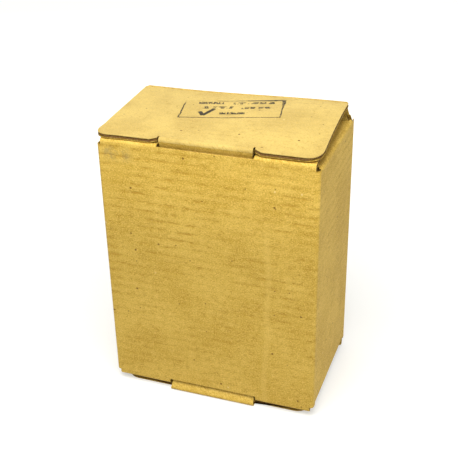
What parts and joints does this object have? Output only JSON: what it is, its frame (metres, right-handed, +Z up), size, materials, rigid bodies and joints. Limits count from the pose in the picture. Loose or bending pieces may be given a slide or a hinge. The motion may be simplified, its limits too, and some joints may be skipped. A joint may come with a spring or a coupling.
{
  "type": "corrugated tuck-lock carton",
  "caption": "Closed upright carton of kraft corrugated board with tongue-locked lids, dust flaps and front flaps that fold open at both ends.",
  "frame": {"origin": "middle of the carton's footprint, on the surface it stands on", "axes": "+Z up the height, -Y out of the front panel that the tongues tuck behind, +X to the right seen from the front"},
  "size_m": [0.08, 0.05, 0.1055],
  "materials": {
    "kraft_liner": "matt kraft liner, washboard over the flutes",
    "fluted_medium": "matt recycled medium",
    "inner_liner": "matt kraft liner"
  },
  "bodies": {
    "carton": {"front_panel_outer_liner": "kraft_liner", "front_panel_fluting": "fluted_medium", "front_panel_inner_liner": "inner_liner", "back_panel_outer_liner": "kraft_liner", "back_panel_fluting": "fluted_medium", "back_panel_inner_liner": "inner_liner", "left_panel_outer_liner": "kraft_liner", "left_panel_fluting": "fluted_medium", "left_panel_inner_liner": "inner_liner", "right_panel_outer_liner": "kraft_liner", "right_panel_fluting": "fluted_medium", "right_panel_inner_liner": "inner_liner", "glue_flap_outer_liner": "kraft_liner", "glue_flap_fluting": "fluted_medium", "glue_flap_inner_liner": "inner_liner"},
    "top_lid": {"top_lid_outer_liner": "kraft_liner", "top_lid_fluting": "fluted_medium", "top_lid_inner_liner": "inner_liner"},
    "top_tongue": {"top_tongue_outer_liner": "kraft_liner", "top_tongue_fluting": "fluted_medium", "top_tongue_inner_liner": "inner_liner"},
    "top_front_flap": {"top_front_flap_outer_liner": "kraft_liner", "top_front_flap_fluting": "fluted_medium", "top_front_flap_inner_liner": "inner_liner"},
    "top_left_dust_flap": {"top_left_dust_flap_outer_liner": "kraft_liner", "top_left_dust_flap_fluting": "fluted_medium", "top_left_dust_flap_inner_liner": "inner_liner"},
    "top_right_dust_flap": {"top_right_dust_flap_outer_liner": "kraft_liner", "top_right_dust_flap_fluting": "fluted_medium", "top_right_dust_flap_inner_liner": "inner_liner"},
    "bottom_lid": {"bottom_lid_outer_liner": "kraft_liner", "bottom_lid_fluting": "fluted_medium", "bottom_lid_inner_liner": "inner_liner"},
    "bottom_tongue": {"bottom_tongue_outer_liner": "kraft_liner", "bottom_tongue_fluting": "fluted_medium", "bottom_tongue_inner_liner": "inner_liner"},
    "bottom_front_flap": {"bottom_front_flap_outer_liner": "kraft_liner", "bottom_front_flap_fluting": "fluted_medium", "bottom_front_flap_inner_liner": "inner_liner"},
    "bottom_left_dust_flap": {"bottom_left_dust_flap_outer_liner": "kraft_liner", "bottom_left_dust_flap_fluting": "fluted_medium", "bottom_left_dust_flap_inner_liner": "inner_liner"},
    "bottom_right_dust_flap": {"bottom_right_dust_flap_outer_liner": "kraft_liner", "bottom_right_dust_flap_fluting": "fluted_medium", "bottom_right_dust_flap_inner_liner": "inner_liner"}
  },
  "joints": [
    {"name": "top_lid_fold", "type": "hinge", "parent": "carton", "child": "top_lid", "pos_m": [0, 0.025, 0.1055], "axis": [-1, 0, 0], "range_deg": [0, 225]},
    {"name": "top_tongue_fold", "type": "hinge", "parent": "top_lid", "child": "top_tongue", "pos_m": [0, -0.02419, 0.1055], "axis": [-1, 0, 0], "range_deg": [0, 45]},
    {"name": "top_front_flap_fold", "type": "hinge", "parent": "carton", "child": "top_front_flap", "pos_m": [0, -0.025, 0.10325], "axis": [1, 0, 0], "range_deg": [0, 225]},
    {"name": "top_left_dust_flap_fold", "type": "hinge", "parent": "carton", "child": "top_left_dust_flap", "pos_m": [-0.04, 0, 0.101], "axis": [0, -1, 0], "range_deg": [0, 101.25]},
    {"name": "top_right_dust_flap_fold", "type": "hinge", "parent": "carton", "child": "top_right_dust_flap", "pos_m": [0.04, 0, 0.101], "axis": [0, 1, 0], "range_deg": [0, 101.25]},
    {"name": "bottom_lid_fold", "type": "hinge", "parent": "carton", "child": "bottom_lid", "pos_m": [0, 0.025, 0], "axis": [1, 0, 0], "range_deg": [0, 225]},
    {"name": "bottom_tongue_fold", "type": "hinge", "parent": "bottom_lid", "child": "bottom_tongue", "pos_m": [0, -0.02419, 0], "axis": [1, 0, 0], "range_deg": [0, 45]},
    {"name": "bottom_front_flap_fold", "type": "hinge", "parent": "carton", "child": "bottom_front_flap", "pos_m": [0, -0.025, 0.00225], "axis": [-1, 0, 0], "range_deg": [0, 225]},
    {"name": "bottom_left_dust_flap_fold", "type": "hinge", "parent": "carton", "child": "bottom_left_dust_flap", "pos_m": [-0.04, 0, 0.0045], "axis": [0, 1, 0], "range_deg": [0, 101.25]},
    {"name": "bottom_right_dust_flap_fold", "type": "hinge", "parent": "carton", "child": "bottom_right_dust_flap", "pos_m": [0.04, 0, 0.0045], "axis": [0, -1, 0], "range_deg": [0, 101.25]}
  ],
  "couplings": [
    {"joint": "top_tongue_fold", "follows": "top_lid_fold", "ratio": 0.2},
    {"joint": "top_front_flap_fold", "follows": "top_lid_fold", "ratio": 1},
    {"joint": "top_left_dust_flap_fold", "follows": "top_lid_fold", "ratio": 0.45},
    {"joint": "top_right_dust_flap_fold", "follows": "top_lid_fold", "ratio": 0.45},
    {"joint": "bottom_tongue_fold", "follows": "bottom_lid_fold", "ratio": 0.2},
    {"joint": "bottom_front_flap_fold", "follows": "bottom_lid_fold", "ratio": 1},
    {"joint": "bottom_left_dust_flap_fold", "follows": "bottom_lid_fold", "ratio": 0.45},
    {"joint": "bottom_right_dust_flap_fold", "follows": "bottom_lid_fold", "ratio": 0.45}
  ]
}
